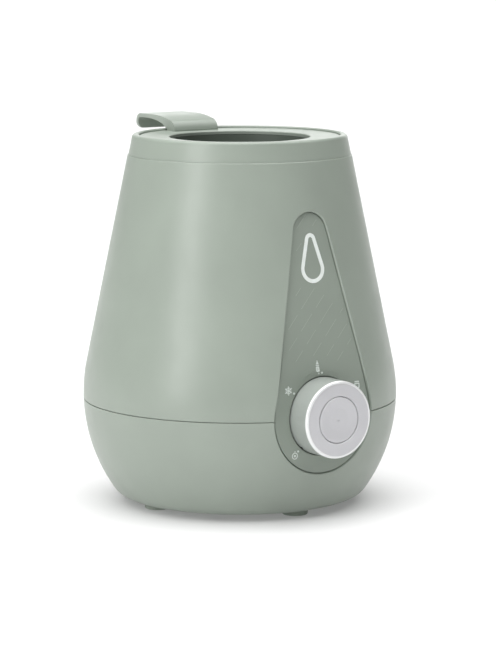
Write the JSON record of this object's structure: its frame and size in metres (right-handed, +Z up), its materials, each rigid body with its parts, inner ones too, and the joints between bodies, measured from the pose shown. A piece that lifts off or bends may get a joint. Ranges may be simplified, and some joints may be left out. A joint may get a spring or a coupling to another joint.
{
  "type": "bottle warmer",
  "caption": "Pear-shaped baby bottle warmer with a drop-shaped control panel, a rotary mode knob with a push button, and a lift-out bottle basket with a rear finger tab.",
  "frame": {"origin": "on the floor, on the axis of the round housing, where the feet's plane crosses it", "axes": "+Z up; the control panel and knob face -Y; +X is to the right when looking at the panel"},
  "size_m": [0.1628, 0.1705, 0.197],
  "materials": {
    "shell_plastic": "fine satin-moulded plastic, sage green",
    "panel_plastic": "smooth satin plastic, darker sage green",
    "light_guide": "milky translucent light guide",
    "foot_rubber": "soft moulded feet",
    "knob_silver": "silver-grey satin paint on plastic",
    "knob_bright": "satin bright plating",
    "knob_face_silver": "pale silver satin paint",
    "screw_steel": "zinc-plated steel",
    "tank_aluminium": "drawn aluminium with a satin skin",
    "plate_aluminium": "machined aluminium",
    "seal_silicone": "silicone rubber",
    "heater_steel": "heat-tinted steel sheath",
    "sensor_body": "black phenolic",
    "circuit_board": "green solder mask",
    "component_dark": "black component cases",
    "component_blue": "blue component cases",
    "component_yellow": "taped windings",
    "led_lens": "clear lamp lens",
    "inlet_black": "black moulded inlet",
    "pin_brass": "nickel-washed brass",
    "lead_white": "silicone-insulated wire",
    "basket_plastic": "satin plastic, dark sage green"
  },
  "bodies": {
    "base": {"upper_shell": "shell_plastic", "lower_shell": "shell_plastic", "collar": "shell_plastic", "foot_pads": "foot_rubber", "base_screws": "screw_steel", "control_panel": "panel_plastic", "status_light": "light_guide", "control_board": "circuit_board", "control_board_screws": "screw_steel", "rotary_switch": "component_dark", "status_led": "led_lens", "water_tank": "tank_aluminium", "tank_screws": "screw_steel", "tank_gasket": "seal_silicone", "heating_plate": "plate_aluminium", "heater_clamp": "heater_steel", "clamp_screws": "screw_steel", "heating_element": "heater_steel", "thermostat": "sensor_body", "thermal_fuse": "screw_steel", "temp_sensor": "pin_brass", "power_board": "circuit_board", "power_board_screws": "screw_steel", "transformer": "component_yellow", "relay": "component_blue", "capacitor": "component_dark", "terminal_block": "component_blue", "power_inlet": "inlet_black", "inlet_pins": "pin_brass", "mains_leads": "lead_white", "heater_leads": "lead_white", "sensor_lead": "lead_white", "control_lead": "lead_white"},
    "knob": {"knob_body": "knob_silver", "knob_shaft": "screw_steel", "knob_clip": "screw_steel", "knob_bezel": "knob_bright", "knob_face": "knob_face_silver"},
    "power_button": {"power_button": "knob_face_silver"},
    "lifter": {"lifter_ring": "shell_plastic", "lifter_basket": "basket_plastic"}
  },
  "joints": [
    {"name": "knob_turn", "type": "hinge", "parent": "base", "child": "knob", "pos_m": [0, -0.0749, 0.0543], "axis": [0, 1, 0], "range_deg": [0, 197]},
    {"name": "button_press", "type": "slide", "parent": "knob", "child": "power_button", "axis": [0, 1, 0], "range_m": [0, 0.001], "stiffness_N_per_m": 1500, "springref_m": -0.0005},
    {"name": "lifter_lift", "type": "slide", "parent": "base", "child": "lifter", "axis": [0, 0, 1], "range_m": [0, 0.13]}
  ]
}
